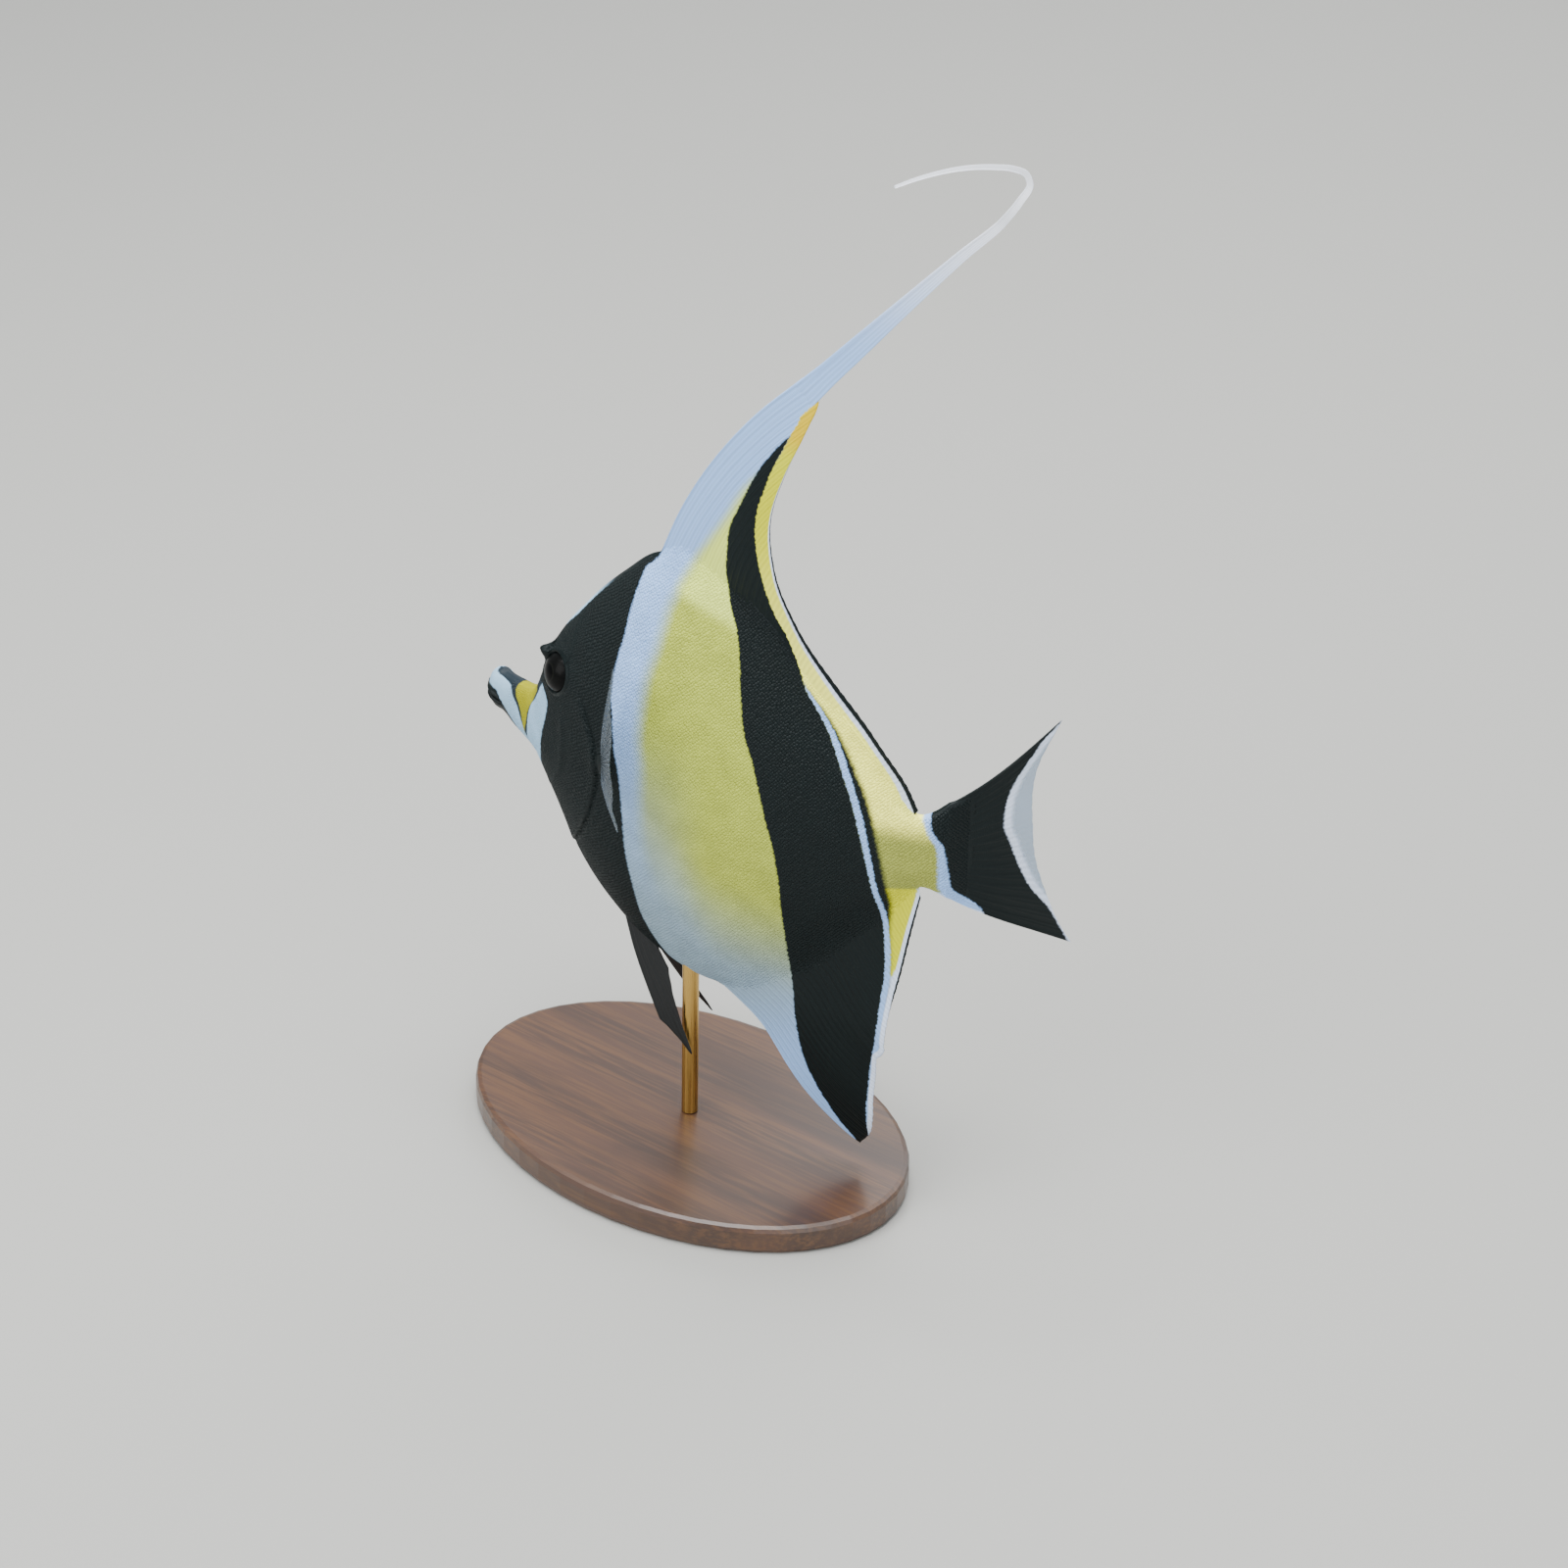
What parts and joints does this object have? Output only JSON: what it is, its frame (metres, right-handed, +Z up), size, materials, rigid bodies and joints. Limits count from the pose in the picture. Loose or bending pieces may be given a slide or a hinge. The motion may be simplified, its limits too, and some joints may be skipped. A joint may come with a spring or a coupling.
{
  "type": "moorish idol fish",
  "caption": "Life-size still model of a moorish idol reef fish with a long dorsal streamer, swimming in a gentle turn above a flat display base on a short rod.",
  "frame": {"origin": "centre of the display base's underside, straight below the rod and the middle of the belly", "axes": "+Z up; the middle of the fish runs along X with its head towards -X; its left side faces -Y"},
  "size_m": [0.1656, 0.088, 0.294],
  "materials": {
    "skin": "fine scaled skin, satin, banded black, bluish white and yellow",
    "fin": "thin rayed fin membrane, satin, banded like the body",
    "streamer": "white fin membrane, satin",
    "clear_fin": "smoky, see-through rayed fin membrane",
    "black_fin": "black rayed fin, satin",
    "eye": "glossy, dark brown iris round a black pupil",
    "stand_wood": "dark stained, satin varnish",
    "stand_metal": "drawn, satin"
  },
  "bodies": {
    "root": {"head": "skin", "trunk": "skin", "tail_stalk": "skin", "eye_left": "eye", "eye_right": "eye", "dorsal_fin": "fin", "dorsal_streamer_lower": "streamer", "dorsal_streamer_upper": "streamer", "dorsal_streamer_bend": "streamer", "dorsal_streamer_tip": "streamer", "anal_fin": "fin", "tail_fin": "fin", "pectoral_fin_left": "clear_fin", "pectoral_fin_right": "clear_fin", "pelvic_fin_left": "black_fin", "pelvic_fin_right": "black_fin", "stand_base": "stand_wood", "stand_rod": "stand_metal"}
  },
  "joints": []
}
